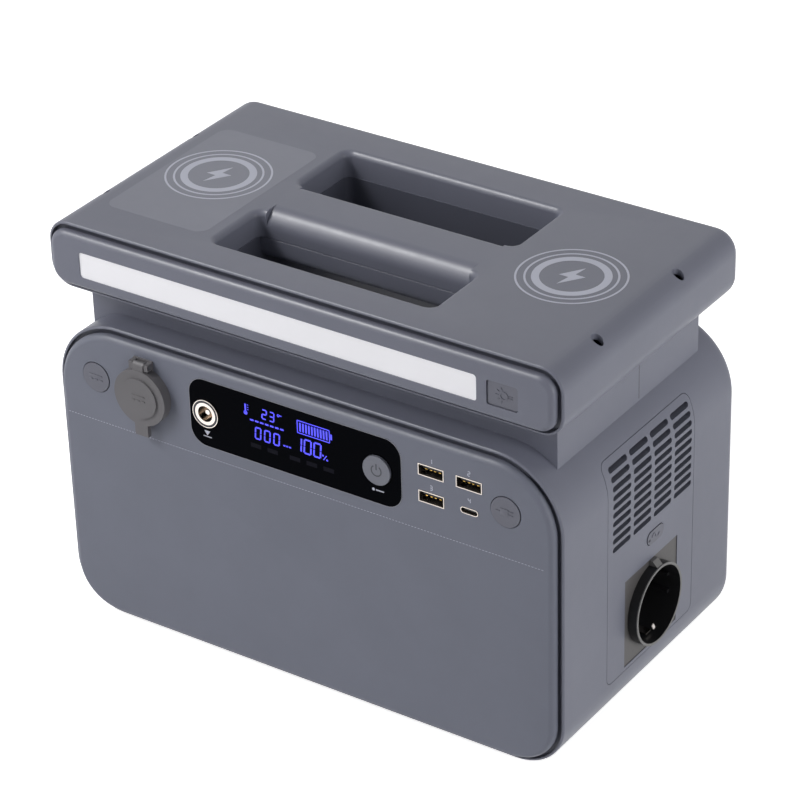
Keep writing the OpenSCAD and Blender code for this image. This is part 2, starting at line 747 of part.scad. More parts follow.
module c_port_shell() color(metal_c) placed() difference() {
  along_y(y_f - 0.2, board_y) translate([port_x[1], port_z[1]]) rounded(9, 3.2, 1.6 - eps);
  along_y(y_f - 1, board_y - 1) translate([port_x[1], port_z[1]]) rounded(8.3, 2.5, 1.25 - eps);
}

module c_port_tongue() color(dark_c) placed()
  along_y(y_f + 1, board_y - 1) translate([port_x[1], port_z[1]]) square([6.6, 0.7], center = true);

// ---- Battery ----

module pack_cradle() color(dark_c) placed() {
  block(pack_x0 + 4, pack_x0 + pack_w, pack_y - cell_l / 2 - holder_t, pack_y + cell_l / 2 + holder_t,
    pack_z0 - 3, pack_z0);
  for (x = [pack_x0 + 30, pack_x, pack_x0 + pack_w - 8])
    block(x - 2, x + 2, pack_y - cell_l / 2, pack_y + cell_l / 2, z_b + wall, pack_z0 - 3 + eps);
}

module cell_places() {
  for (c = [0:cell_cols - 1]) for (r = [0:cell_rows - 1])
    translate([pack_x0 + (c + 0.5) * cell_pitch, pack_y, pack_z0 + (r + 0.5) * cell_pitch]) children();
}

// A holder takes the last few millimetres of every cell
module cell_holder(y0, y1) difference() {
  block(pack_x0, pack_x0 + pack_w, y0, y1, pack_z0, deck_z);
  cell_places() rotate([90, 0, 0]) cylinder(r = cell_r, h = cell_l, center = true);
}

module cell_holder_front() color(dark_c) placed()
  cell_holder(pack_y - cell_l / 2, pack_y - cell_l / 2 + holder_t);

module cell_holder_rear() color(dark_c) placed()
  cell_holder(pack_y + cell_l / 2 - holder_t, pack_y + cell_l / 2);

module battery_cells() color([0.2, 0.5, 0.7]) placed()
  cell_places() rotate([90, 0, 0]) cylinder(r = cell_r, h = cell_l, center = true);

module busbars() color(metal_c) placed() for (s = [-1, 1]) for (r = [0:cell_rows - 1])
  block(pack_x0 + 4, pack_x0 + pack_w - 4,
    pack_y + s * (cell_l / 2 + 0.25) - 0.25, pack_y + s * (cell_l / 2 + 0.25) + 0.25,
    pack_z0 + (r + 0.5) * cell_pitch - 4, pack_z0 + (r + 0.5) * cell_pitch + 4);

module battery_board() color(board_c) placed()
  block(pack_x - 60, pack_x + 60, pack_y + cell_l / 2 + 0.5, pack_y + cell_l / 2 + 2.1,
    pack_z0 + 2, pack_z0 + pack_h - 2);

// ---- Power electronics ----

module power_deck() color(dark_c) placed() {
  block(-half_w + 14, half_w - 14, pack_y - cell_l / 2, pack_y + cell_l / 2, deck_z, deck_top);
  for (x = [-58, 58]) for (y = [-20, 20])
    translate([x, fan_y + y, deck_top - eps]) cylinder(r = 2.5, h = 5 + eps);
}

module inverter_board() color(board_c) placed()
  block(-inv_l / 2, inv_l / 2, fan_y - inv_d / 2, fan_y + inv_d / 2, inv_z, inv_z + board_t);

module heatsinks() color([0.6, 0.61, 0.62]) placed() for (s = [-1, 1])
  translate([inv_l / 2 - 6 - sink_l, fan_y + s * (inv_d / 2 - 8), inv_z + board_t]) {
    block(0, sink_l, -1.2, 1.2, 0, sink_h);
    for (i = [1:6]) block(0, sink_l, -4.5, 4.5, i * sink_h / 6 - 1, i * sink_h / 6);
  }

module transformer() color([0.55, 0.5, 0.3]) placed() translate([-46, fan_y, inv_z + board_t]) {
  block(-13, 13, -14, 14, 0, 8);
  block(-8, 8, -14, 14, 8 - eps, 20);
  block(-13, 13, -14, 14, 20 - eps, 28);
}

module capacitors() color([0.15, 0.16, 0.3]) placed() for (i = [0:3])
  translate([-18 + i * 18, fan_y, inv_z + board_t]) cylinder(r = 6.4, h = 26);

module fan_frame(x0) difference() {
  along_x(x0, x0 + fan_t) translate([fan_y, fan_z]) difference() {
    square([fan_s, fan_s], center = true);
    circle(fan_s / 2 - 2);
  }
  for (y = [-1, 1]) for (z = [-1, 1])
    rod_x(fan_y + y * (fan_s / 2 - 4), fan_z + z * (fan_s / 2 - 4), 1.8, x0 - 1, x0 + fan_t + 1);
}

module fan_spider(x0) {
  rod_x(fan_y, fan_z, 9, x0, x0 + 2);
  for (a = [0:90:270]) translate([x0, fan_y, fan_z]) rotate([a + 45, 0, 0])
    translate([0, -1.2, 7]) cube([2, 2.4, fan_s / 2 - 2 - 7 + 0.6]);
}

module fan_rotor(x0) {
  rod_x(fan_y, fan_z, 9, x0 + 2.6, x0 + fan_t - 1);
  for (a = [0:60:300]) translate([x0 + fan_t / 2, fan_y, fan_z]) rotate([a, 0, 0])
    translate([0, 0, 8]) rotate([0, 0, 35])
      translate([-1, -5, 0]) cube([1.4, 10, fan_s / 2 - 4 - 8]);
}

module fan_frame_right() color(dark_c) placed() {
  fan_frame(fan_x);
  fan_spider(fan_x);
}

module fan_rotor_right() color([0.2, 0.2, 0.22]) placed() fan_rotor(fan_x);

module fan_frame_left() color(dark_c) placed() mirror([1, 0, 0]) {
  fan_frame(fan_x);
  fan_spider(fan_x);
}

module fan_rotor_left() color([0.2, 0.2, 0.22]) placed() mirror([1, 0, 0]) fan_rotor(fan_x);

body_shell();
front_bezel();
front_panel();
rear_cover();
feet();
head_cover();
head_base();
head_fascia();
light_lens();
light_strip();
light_button();
handle_tub();
grip_insert();
vent_panel_right();
vent_panel_left();
outlet_plate();
outlet_well();
outlet_contacts();
earth_clips();
ac_button();
ac_switch_bracket();
display_window();
display_module();
control_board();
tact_switches();
dc_button();
usb_button();
power_button();
input_jack();
input_pin();
car_socket();
car_contact();
socket_flange();
socket_cap();
cap_pin();
port_shells();
port_tongues();
c_port_shell();
c_port_tongue();
pack_cradle();
cell_holder_front();
cell_holder_rear();
battery_cells();
busbars();
power_deck();
battery_board();
inverter_board();
heatsinks();
transformer();
capacitors();
fan_frame_right();
fan_rotor_right();
fan_frame_left();
fan_rotor_left();
charging_coils();
coil_shields();
head_screws();
rear_screws();
neck_screws();
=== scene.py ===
"""Dresses the power station: the finishes of its pieces, and the fine printed and raised detail on them."""

import logging
import math
from collections.abc import Sequence
from dataclasses import dataclass, field
from enum import Enum
from typing import ClassVar

import bmesh
import bpy
from mathutils import Matrix, Vector

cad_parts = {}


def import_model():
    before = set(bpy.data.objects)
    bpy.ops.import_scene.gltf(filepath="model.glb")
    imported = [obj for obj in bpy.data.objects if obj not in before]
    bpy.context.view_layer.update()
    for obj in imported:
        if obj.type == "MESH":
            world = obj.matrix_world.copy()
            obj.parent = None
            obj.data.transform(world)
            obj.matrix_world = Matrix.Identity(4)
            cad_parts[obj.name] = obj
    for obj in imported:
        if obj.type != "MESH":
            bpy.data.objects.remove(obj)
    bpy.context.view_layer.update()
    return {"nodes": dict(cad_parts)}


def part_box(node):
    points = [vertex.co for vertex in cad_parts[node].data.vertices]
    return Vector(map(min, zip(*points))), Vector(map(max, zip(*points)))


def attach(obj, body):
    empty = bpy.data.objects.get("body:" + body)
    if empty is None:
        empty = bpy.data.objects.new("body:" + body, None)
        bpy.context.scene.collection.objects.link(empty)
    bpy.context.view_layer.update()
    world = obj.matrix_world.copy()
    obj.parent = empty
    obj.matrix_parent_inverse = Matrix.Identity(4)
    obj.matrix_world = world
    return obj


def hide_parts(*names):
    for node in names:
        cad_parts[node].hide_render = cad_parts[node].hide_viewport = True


LOG = logging.getLogger("power_station")
MM = 0.001
HOUSING = "housing"
WIDE_PORT = (13.1, 5.7)  # opening of a wide port, in millimetres
WHITE = (1.0, 1.0, 1.0, 1.0)

Triple = tuple[float, float, float]
Colour = Triple
Point = tuple[float, float]
Bar = tuple[float, float, float, float]  # middle along x and y, then width and height
Row = tuple[Bar, Point, int]  # first bar, way to the next and number of bars


# ---- Finishes ----


def srgb(*screen: int) -> Colour:
    """Turns a colour on screen into a linear one by the curve of the sRGB standard.

    Args:
        screen: Its red, green and blue, from 0 to 255.

    Returns:
        The linear colour.
    """
    values = [v / 255 for v in screen]
    linear = [v / 12.92 if v < 0.04045 else ((v + 0.055) / 1.055) ** 2.4 for v in values]
    return linear[0], linear[1], linear[2]


def shifted(colour: Colour, factor: float) -> tuple[float, float, float, float]:
    """Scales a colour and adds an alpha of 1."""
    return colour[0] * factor, colour[1] * factor, colour[2] * factor, 1.0


@dataclass(frozen=True)
class Shading:
    """A material's node tree, its surface shader and its object coordinates, while it is being built."""

    tree: bpy.types.NodeTree
    shader: bpy.types.Node
    place: bpy.types.NodeSocket

    def noise(self, place: bpy.types.NodeSocket, scale: float, detail: float) -> bpy.types.NodeSocket:
        """Adds a noise texture.

        Args:
            place: Coordinates that it is read at.
            scale: Its cells per unit of those coordinates.
            detail: How many finer layers it has.

        Returns:
            The noise's value.
        """
        noise = self.tree.nodes.new("ShaderNodeTexNoise")
        noise.inputs["Scale"].default_value = scale
        noise.inputs["Detail"].default_value = detail
        self.tree.links.new(place, noise.inputs["Vector"])
        return noise.outputs["Fac"]

    def raise_by(self, height: bpy.types.NodeSocket, distance: float) -> None:
        """Gives the surface a bump.

        Args:
            height: Value that says how high each point stands.
            distance: Height that a value of 1 stands for, in metres.
        """
        bump = self.tree.nodes.new("ShaderNodeBump")
        bump.inputs["Strength"].default_value = 1.0
        bump.inputs["Distance"].default_value = distance
        self.tree.links.new(height, bump.inputs["Height"])
        self.tree.links.new(bump.outputs["Normal"], self.shader.inputs["Normal"])


@dataclass(frozen=True)
class Finish:
    """A surface finish with fine grain, faint cloudy colour change and a small bump.

    Attributes:
        colour: Linear base colour.
        grain: Size of the moulded grain, in metres.
        bump: Height of that grain, in metres.
        mottle: How far the colour drifts either way.
        coat: Weight of a clear coat.
        emission: Strength of the light given off.
    """

    name: str
    colour: Colour
    roughness: float = 0.5
    metallic: float = 0.0
    grain: float = 0.0006
    bump: float = 0.00002
    mottle: float = 0.03
    coat: float = 0.0
    emission: float = 0.0
    specular: float = 0.5

    # the noise of the colour's drift and of the handling marks: cells per metre, then finer layers
    CLOUD: ClassVar[Point] = (28.0, 4.0)
    WEAR: ClassVar[Point] = (160.0, 6.0)
    CLOUD_ENDS: ClassVar[Point] = (0.3, 0.7)
    WEAR_REACH: ClassVar[float] = 0.05
    LEAST_ROUGHNESS: ClassVar[float] = 0.02
    COAT_ROUGHNESS: ClassVar[float] = 0.08
    GRAIN_DETAIL: ClassVar[float] = 2.0

    def material(self) -> bpy.types.Material:
        """Finds or builds the material.

        Returns:
            The node material of this finish.
        """
        found = bpy.data.materials.get(self.name)
        if found is not None:
            return found
        made = bpy.data.materials.new(self.name)
        made.use_nodes = True
        tree = made.node_tree
        shader = tree.nodes["Principled BSDF"]
        shader.inputs["Metallic"].default_value = self.metallic
        shader.inputs["Coat Weight"].default_value = self.coat
        shader.inputs["Coat Roughness"].default_value = self.COAT_ROUGHNESS
        shader.inputs["Specular IOR Level"].default_value = self.specular
        if self.emission:
            shader.inputs["Emission Color"].default_value = (*self.colour, 1.0)
            shader.inputs["Emission Strength"].default_value = self.emission
        shading = Shading(tree, shader, tree.nodes.new("ShaderNodeTexCoord").outputs["Object"])
        self._colour(shading)
        self._roughness(shading)
        self._grain(shading)
        return made

    def _colour(self, shading: Shading) -> None:
        """Lets the base colour drift over a few centimetres.

        Args:
            shading: The parts of the material.
        """
        ramp = shading.tree.nodes.new("ShaderNodeValToRGB")
        drifts = (1 - self.mottle, 1 + self.mottle)
        for stop, position, drift in zip(ramp.color_ramp.elements, self.CLOUD_ENDS, drifts):
            stop.position = position
            stop.color = shifted(self.colour, drift)
        shading.tree.links.new(shading.noise(shading.place, *self.CLOUD), ramp.inputs["Fac"])
        shading.tree.links.new(ramp.outputs["Color"], shading.shader.inputs["Base Color"])

    def _roughness(self, shading: Shading) -> None:
        """Varies the roughness with fine handling marks.

        Args:
            shading: The parts of the material.
        """
        spread = shading.tree.nodes.new("ShaderNodeMapRange")
        least = max(self.LEAST_ROUGHNESS, self.roughness - self.WEAR_REACH)
        spread.inputs["To Min"].default_value = least
        spread.inputs["To Max"].default_value = min(1.0, self.roughness + self.WEAR_REACH)
        shading.tree.links.new(shading.noise(shading.place, *self.WEAR), spread.inputs["Value"])
        shading.tree.links.new(spread.outputs["Result"], shading.shader.inputs["Roughness"])

    def _grain(self, shading: Shading) -> None:
        """Adds the moulded grain as a bump."""
        height = shading.noise(shading.place, 1.0 / self.grain, self.GRAIN_DETAIL)
        shading.raise_by(height, self.bump)


@dataclass(frozen=True)
class BrushedFinish(Finish):
    """Metal drawn or brushed along one axis, with scratches per metre along each."""

    stretch: Triple = (40.0, 1500.0, 1500.0)
    SCRATCH_DETAIL: ClassVar[float] = 3.0

    def _grain(self, shading: Shading) -> None:
        """Adds long fine scratches as a bump.

        Args:
            shading: The parts of the material.
        """
        mapping = shading.tree.nodes.new("ShaderNodeMapping")
        mapping.inputs["Scale"].default_value = self.stretch
        shading.tree.links.new(shading.place, mapping.inputs["Vector"])
        height = shading.noise(mapping.outputs["Vector"], 1.0, self.SCRATCH_DETAIL)
        shading.raise_by(height, self.bump)


SHELL = Finish("shell_grey", srgb(112, 114, 127), roughness=0.4, specular=0.3)
PANEL = Finish("panel_grey", srgb(110, 113, 126), roughness=0.5, specular=0.3)
# Darker grey for the pockets' walls: painted shade of the deep pockets.
POCKET_SHADE = Finish("pocket_painted_shade", srgb(80, 82, 94), roughness=0.45)
KEY = Finish("key_grey", srgb(93, 94, 106), roughness=0.42, grain=0.0009)
FILM = Finish("clear_film_over_grey", srgb(117, 119, 132), roughness=0.42, bump=0.000004)
# Dark tone that paints the shade of the power key's sunk symbol, which is drawn raised a little.
SUNK_SYMBOL_SHADE = Finish("power_symbol_painted_shade", srgb(58, 60, 68), roughness=0.5, bump=0.0)
SEAM = Finish("dark_seam", srgb(44, 45, 52), roughness=0.7, bump=0.0)
# A pale pill that paints the highlight on the end of the outlet's lower earth clip.
CLIP_HIGHLIGHT = Finish("earth_clip_painted_highlight", srgb(232, 225, 219), roughness=0.3, bump=0.0)
POWER_KEY = Finish("power_key_grey", srgb(105, 107, 118), roughness=0.38)
CAP = Finish("socket_cap_rubber", srgb(96, 94, 97), roughness=0.62, grain=0.0004, mottle=0.05)
FOOT = Finish("foot_pad_rubber", srgb(40, 40, 42), roughness=0.8, grain=0.0008, mottle=0.1)
# The lens's weak glow is painted light that lifts its brightness.
LENS_GLOW = Finish("frosted_lens_painted_glow", srgb(234, 233, 237), roughness=0.35, mottle=0.01, emission=0.14)
GLASS = Finish("black_window", srgb(3, 4, 8), roughness=0.12, bump=0.0, specular=0.01)
LIT = Finish("display_blue", srgb(78, 76, 245), roughness=0.5, bump=0.0, emission=0.8)
UNLIT = Finish("display_unlit", srgb(15, 15, 24), roughness=0.5, bump=0.0, specular=0.03)
PRINT = Finish("light_print", srgb(186, 188, 202), roughness=0.5, mottle=0.02)
EDGE = Finish("window_edge", srgb(140, 141, 150), roughness=0.3)
OUTLET_FACE = Finish("outlet_warm_grey", srgb(84, 82, 82), roughness=0.4, specular=0.25)
OUTLET_BLACK = Finish("collar_black", srgb(27, 27, 29), roughness=0.36, bump=0.00001, specular=0.3)
OUTLET_RIM = Finish("outlet_rim", srgb(112, 111, 110), roughness=0.4, specular=0.3)
INNER = Finish("inner_black", srgb(36, 36, 40), roughness=0.6)
FAN = Finish("fan_black", srgb(30, 30, 34), roughness=0.45)
BOARD = Finish("green_board", srgb(24, 88, 52), roughness=0.35, mottle=0.12, coat=0.3)
WINDING = Finish("yellow_tape", srgb(196, 160, 60), roughness=0.4, mottle=0.1)
SLEEVE = Finish("cell_sleeve", srgb(40, 96, 150), roughness=0.3, mottle=0.06)
CAN = Finish("capacitor_sleeve", srgb(34, 34, 60), roughness=0.3)
FERRITE = Finish("ferrite_disc", srgb(60, 60, 62), roughness=0.7, mottle=0.1)
PORT_STEEL = BrushedFinish("port_shell_steel", srgb(214, 205, 196), roughness=0.24, metallic=1.0)
BRIGHT = BrushedFinish("bright_nickel", srgb(226, 218, 210), roughness=0.14, metallic=1.0, bump=0.000004)
ZINC = BrushedFinish("zinc_steel", srgb(120, 120, 122), roughness=0.4, metallic=1.0)
BRASS = BrushedFinish("bright_brass", srgb(220, 180, 96), roughness=0.25, metallic=1.0)
COPPER = BrushedFinish("enamelled_copper", srgb(184, 104, 56), roughness=0.3, metallic=1.0)
ALUMINIUM = BrushedFinish("finned_aluminium", srgb(180, 182, 186), roughness=0.35, metallic=1.0)


# ---- Making and placing meshes ----

MERGE_WITHIN = 1e-7  # metres between corners of a piece that become one
CORNER_STEPS = 8  # short edges in a rounded corner


class Plane(Enum):
    """Flat sides of the station that carry printed or raised marks."""

    FRONT = "front"
    TOP = "top"
    RIGHT = "right"

    def matrix(self, origin: Vector) -> Matrix:
        """Gives the transform from a drawing in x and y to this side, with z standing out of it.

        Args:
            origin: Where the drawing's origin goes, in metres.

        Returns:
            The transform.
        """
        columns = {
            Plane.FRONT: ((1, 0, 0), (0, 0, 1), (0, -1, 0)),
            Plane.TOP: ((1, 0, 0), (0, 1, 0), (0, 0, 1)),
            Plane.RIGHT: ((0, 1, 0), (0, 0, 1), (1, 0, 0)),
        }[self]
        turn = Matrix(columns).transposed().to_4x4()
        return Matrix.Translation(origin) @ turn


def front_of(node: str) -> Vector:
    """Gives the middle of the front of a node's box, in metres."""
    low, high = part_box(node)
    return Vector(((low.x + high.x) / 2, low.y, (low.z + high.z) / 2))


def right_of(node: str) -> Vector:
    """Gives the middle of the right side of a node's box, in metres."""
    low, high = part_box(node)
    return Vector((high.x, (low.y + high.y) / 2, (low.z + high.z) / 2))


def housing_middle() -> Vector:
    """Gives the point on the floor under the middle of the housing, in metres."""
    middle_y = (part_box("front_panel")[0].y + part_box("rear_cover")[1].y) / 2
    return Vector((front_of("front_bezel").x, middle_y, 0.0))


def finish_mesh(mesh: bmesh.types.BMesh, name: str, finish: Finish, body: str = HOUSING,
                smooth: float = 30.0) -> bpy.types.Object:
    """Turns a bmesh into a piece that rides on a body.

    Args:
        mesh: The finished shape, in metres and in place; it is freed here.
        name: Name of the piece.
        finish: Its finish.
        body: The body that it rides on.
        smooth: Angle in degrees under which edges shade smooth.

    Returns:
        The new object.
    """
    bmesh.ops.remove_doubles(mesh, verts=mesh.verts[:], dist=MERGE_WITHIN)
    bmesh.ops.recalc_face_normals(mesh, faces=mesh.faces[:])
    for face in mesh.faces:
        face.smooth = True
    for edge in mesh.edges:
        edge.smooth = len(edge.link_faces) == 2 and edge.calc_face_angle(0.0) < math.radians(smooth)
    data = bpy.data.meshes.new(name)
    mesh.to_mesh(data)
    mesh.free()
    data.materials.append(finish.material())
    piece = bpy.data.objects.new(name, data)
    bpy.context.scene.collection.objects.link(piece)
    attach(piece, body)
    LOG.info("%s: %d faces on %s", name, len(data.polygons), body)
    return piece


def rounded_outline(width: float, height: float, radius: float, middle: Point = (0.0, 0.0)
                    ) -> tuple[Point, ...]:
    """Gives the outline of a rectangle with rounded corners.

    Args:
        width: Its width in millimetres.
        height: Its height.
        radius: Radius of its corners.
        middle: Its middle.

    Returns:
        The outline's points, anticlockwise.
    """
    points = []
    for quarter, (sx, sy) in enumerate(((1, 1), (-1, 1), (-1, -1), (1, -1))):
        for step in range(CORNER_STEPS + 1):
            angle = math.radians(90 * (quarter + step / CORNER_STEPS))
            points.append((middle[0] + sx * (width / 2 - radius) + radius * math.cos(angle),
                           middle[1] + sy * (height / 2 - radius) + radius * math.sin(angle)))
    return tuple(points)


@dataclass
class Drawing:
    """A flat drawing in millimetres, of one thickness.

    Attributes:
        lift: The thickness, from z = 0 upward.
        mesh: What is drawn so far.
    """

    lift: float
    mesh: bmesh.types.BMesh = field(default_factory=bmesh.new)

    def bar(self, bar: Bar, turn: float = 0.0, edge: float = 0.0) -> None:
        """Adds a rectangular bar.

        Args:
            bar: The bar before it is turned.
            turn: Turn in degrees about its middle.
            edge: Width of a bevel on all edges, or 0.
        """
        x, y, width, height = bar
        place = Matrix.Translation((x, y, self.lift / 2)) @ Matrix.Rotation(math.radians(turn), 4, "Z")
        size = Matrix.Diagonal((width, height, self.lift, 1.0))
        made = bmesh.ops.create_cube(self.mesh, size=1.0, matrix=place @ size)
        if edge:
            edges = list({e for v in made["verts"] for e in v.link_edges})
            bmesh.ops.bevel(self.mesh, geom=edges, offset=edge, affect="EDGES", segments=2, profile=0.5,
                            material=-1)

    def row(self, row: Row) -> None:
        """Adds a row of equal bars.

        Args:
            row: Its first bar, the way to the next and the number of bars.
        """
        (x, y, width, height), step, count = row
        for index in range(count):
            self.bar((x + index * step[0], y + index * step[1], width, height))

    def disc(self, middle: Point, radius: float, sides: int = 32) -> None:
        """Adds a round disc."""
        place = Matrix.Translation((*middle, self.lift / 2))
        bmesh.ops.create_cone(self.mesh, cap_ends=True, segments=sides, radius1=radius, radius2=radius,
                              depth=self.lift, matrix=place)

    def ring(self, middle: Point, radii: Point, start: float = 0.0, sweep: float = 360.0,
             sides: int = 96) -> None:
        """Adds a flat ring, or a part of one, by spinning its section.

        Args:
            middle: Its middle.
            radii: Its inner and outer radius.
            start: Angle of its first end, in degrees.
            sweep: How far it turns, in degrees.
            sides: Steps of the spin.
        """
        ray = Vector((math.cos(math.radians(start)), math.sin(math.radians(start)), 0.0))
        centre = Vector((*middle, 0.0))
        up = Vector((0.0, 0.0, self.lift))
        near, far = (centre + ray * radius for radius in radii)
        corners = [self.mesh.verts.new(corner) for corner in (near, far, far + up, near + up)]
        section = self.mesh.faces.new(corners)
        whole = sweep >= 360.0
        bmesh.ops.spin(self.mesh, geom=[section, *section.edges, *section.verts], cent=centre,
                       axis=(0, 0, 1), angle=math.radians(sweep), steps=sides, use_merge=whole,
                       use_duplicate=False)
        if whole:
            inside = [face for face in self.mesh.faces if self._across(face, centre)]
            bmesh.ops.delete(self.mesh, geom=inside, context="FACES_ONLY")

    @staticmethod
    def _across(face: bmesh.types.BMFace, centre: Vector) -> bool:
        """Says whether a face is the section that is left inside a full ring.

        Args:
            face: The face.
            centre: The ring's centre.

        Returns:
            True for an upright face of four corners that lies along a ray from the centre.
        """
        upright, no_length, same_length, aligned = 0.01, 1e-6, 1e-4, 0.999999
        if abs(face.normal.z) >= upright or len(face.verts) != 4:
            return False
        rays = [Vector((v.co.x - centre.x, v.co.y - centre.y)) for v in face.verts]
        lengths = [ray.length for ray in rays]
        if min(lengths) < no_length or max(lengths) - min(lengths) < same_length:
            return False
        first = rays[0].normalized()
        return all(ray.normalized().dot(first) > aligned for ray in rays)

    def shape(self, outline: Sequence[Point]) -> None:
        """Adds a flat shape with straight sides.

        Args:
            outline: Its corners in order.
        """
        face = self.mesh.faces.new([self.mesh.verts.new((x, y, 0.0)) for x, y in outline])
        grown = bmesh.ops.extrude_face_region(self.mesh, geom=[face], use_keep_orig=True)
        raised = [item for item in grown["geom"] if isinstance(item, bmesh.types.BMVert)]
        bmesh.ops.translate(self.mesh, verts=raised, vec=(0, 0, self.lift))

    def frame(self, width: float, height: float, radius: float, line: float) -> None:
        """Adds a line round a rectangle with rounded corners.

        Args:
            width: Outer width of the line.
            height: Its outer height.
            radius: Outer radius of its corners.
            line: Width of the line.
        """
        outer = rounded_outline(width, height, radius)
        inner = rounded_outline(width - 2 * line, height - 2 * line, radius - line)
        loops = [[self.mesh.verts.new((x, y, z)) for x, y in outline]
                 for outline, z in ((outer, 0.0), (outer, self.lift), (inner, self.lift), (inner, 0.0))]
        for loop, following in zip(loops, loops[1:] + loops[:1]):
            for index in range(len(loop)):
                after = (index + 1) % len(loop)
                self.mesh.faces.new((loop[index], loop[after], following[after], following[index]))

    def lay(self, plane: Plane, origin: Vector, name: str, finish: Finish,
            body: str = HOUSING) -> None:
        """Lays the drawing on a side of the station and makes it a piece.

        Args:
            plane: The side.
            origin: Where the drawing's origin goes, in metres.
            name: Name of the piece.
            finish: Its finish.
            body: The body that it rides on.
        """
        place = plane.matrix(origin) @ Matrix.Scale(MM, 4)
        bmesh.ops.transform(self.mesh, matrix=place, verts=self.mesh.verts[:])
        finish_mesh(self.mesh, name, finish, body)


@dataclass(frozen=True)
class Digits:
    """Seven-bar digits, with their height and stroke in millimetres.

    Attributes:
        pitch: Distance between digits as a share of the height.
        slant: Shear of a digit, x per y.
    """

    height: float
    stroke: float
    pitch: float = 0.78
    slant: float = 0.0

    SEGMENTS: ClassVar[dict[str, str]] = {
        "0": "abcdef", "1": "bc", "2": "abged", "3": "abgcd", "4": "fgbc",
        "5": "afgcd", "6": "afgedc", "7": "abc", "8": "abcdefg", "9": "abcdfg",
    }

    def draw(self, drawing: Drawing, text: str, middle: Point) -> None:
        """Draws digits centred on a point.

        Args:
            drawing: The drawing that they are added to.
            text: Digits to draw.
            middle: The point.
        """
        for index, character in enumerate(text):
            x = middle[0] + (index - (len(text) - 1) / 2) * self.height * self.pitch
            for segment in self.SEGMENTS[character]:
                self._segment(drawing, segment, (x, middle[1]))

    def _segment(self, drawing: Drawing, segment: str, middle: Point) -> None:
        """Adds one bar of a digit.

        Args:
            drawing: The drawing that it is added to.
            segment: The bar's letter.
            middle: Middle of the digit.
        """
        half_height = (self.height - self.stroke) / 2
        half_width = half_height / 2
        spots = {
            "a": (0, half_height), "g": (0, 0), "d": (0, -half_height),
            "f": (-half_width, half_height / 2), "b": (half_width, half_height / 2),
            "e": (-half_width, -half_height / 2), "c": (half_width, -half_height / 2),
        }
        x, y = spots[segment]
        place = (middle[0] + x + y * self.slant, middle[1] + y)
        length = half_height - self.stroke / 2
        if segment in "agd":
            drawing.bar((*place, length, self.stroke))
        else:
            drawing.bar((*place, self.stroke, length), turn=-math.degrees(self.slant))


# ---- Sub-assemblies ----


@dataclass
class Solids:
    """Every solid that keeps its own mesh and only takes a finish."""

    finishes: dict[Finish, tuple[str, ...]] = field(default_factory=lambda: {
        KEY: ("dc_button", "usb_button", "light_button", "ac_button"),
        POWER_KEY: ("power_button",),
        FOOT: ("feet",),
        CAP: ("socket_cap", "socket_flange"),
        LENS_GLOW: ("light_lens",),
        GLASS: ("display_window",),
        UNLIT: ("display_module",),
        PORT_STEEL: ("port_shells", "c_port_shell"),
        BRIGHT: ("input_jack", "input_pin", "car_socket", "earth_clips"),
        ZINC: ("head_screws", "rear_screws", "neck_screws", "cap_pin"),
        INNER: (
            "port_tongues", "c_port_tongue", "tact_switches", "pack_cradle", "cell_holder_front",
            "cell_holder_rear", "power_deck",
        ),
        FAN: ("fan_frame_right", "fan_frame_left", "fan_rotor_right", "fan_rotor_left"),
        BOARD: ("control_board", "inverter_board", "battery_board", "light_strip", "ac_switch_bracket"),
        OUTLET_FACE: ("outlet_plate",),
        OUTLET_BLACK: ("outlet_well",),
        BRASS: ("outlet_contacts", "car_contact"),
        SLEEVE: ("battery_cells",),
        ALUMINIUM: ("busbars", "heatsinks"),
        WINDING: ("transformer",),
        CAN: ("capacitors",),
        COPPER: ("charging_coils",),
        FERRITE: ("coil_shields",),
    })

    def build(self) -> None:
        """Gives each solid its finish."""
        for finish, nodes in self.finishes.items():
            for node in nodes:
                data = bpy.data.objects[node].data
                data.materials.clear()
                data.materials.append(finish.material())
            LOG.info("%s: %s", finish.name, ", ".join(nodes))


@dataclass
class Shells:
    """The grey moulded shells and the front panel, shown as smooth copies of the solids.

    The edges of some copies are rounded by a width in millimetres. Other lengths are in metres, and
    angles in degrees.
    """

    nodes: tuple[str, ...] = (
        "body_shell", "front_bezel", "rear_cover", "head_cover", "head_fascia", "head_base", "handle_tub",
        "grip_insert", "vent_panel_right", "vent_panel_left",
    )
    rounding: dict[str, float] = field(default_factory=lambda: {
        "head_cover": 0.3,
        "head_fascia": 0.3,
        "front_panel": 0.25,
    })
    merge_within: float = 2e-6
    shortest: float = 1e-6
    flat_angle: float = 0.4
    smooth_angle: float = 35.0
    rounded_angle: float = 40.0
    rounding_steps: int = 2

    def build(self) -> None:
        """Copies and dresses each shell, the pockets' walls in a darker grey that paints their shade."""
        for node in self.nodes:
            self._copy(node, POCKET_SHADE if node == "handle_tub" else SHELL)
        self._copy("front_panel", PANEL)

    def _copy(self, node: str, finish: Finish) -> None:
        """Makes a smooth copy of a solid, which stands for the solid.

        Args:
            node: The solid's name.
            finish: The copy's finish.
        """
        mesh = bmesh.new()
        mesh.from_mesh(bpy.data.objects[node].data)
        bmesh.ops.remove_doubles(mesh, verts=mesh.verts[:], dist=self.merge_within)
        bmesh.ops.dissolve_degenerate(mesh, dist=self.shortest, edges=mesh.edges[:])
        bmesh.ops.dissolve_limit(mesh, angle_limit=math.radians(self.flat_angle), verts=mesh.verts[:],
                                 edges=mesh.edges[:])
        piece = finish_mesh(mesh, f"{node}_skin", finish, smooth=self.smooth_angle)
        if node in self.rounding:
            bevel = piece.modifiers.new("edge_rounding", "BEVEL")
            bevel.width = self.rounding[node] * MM
            bevel.segments = self.rounding_steps
            bevel.limit_method = "ANGLE"
            bevel.angle_limit = math.radians(self.rounded_angle)
            bevel.harden_normals = True
            bevel.use_clamp_overlap = True
        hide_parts(node)


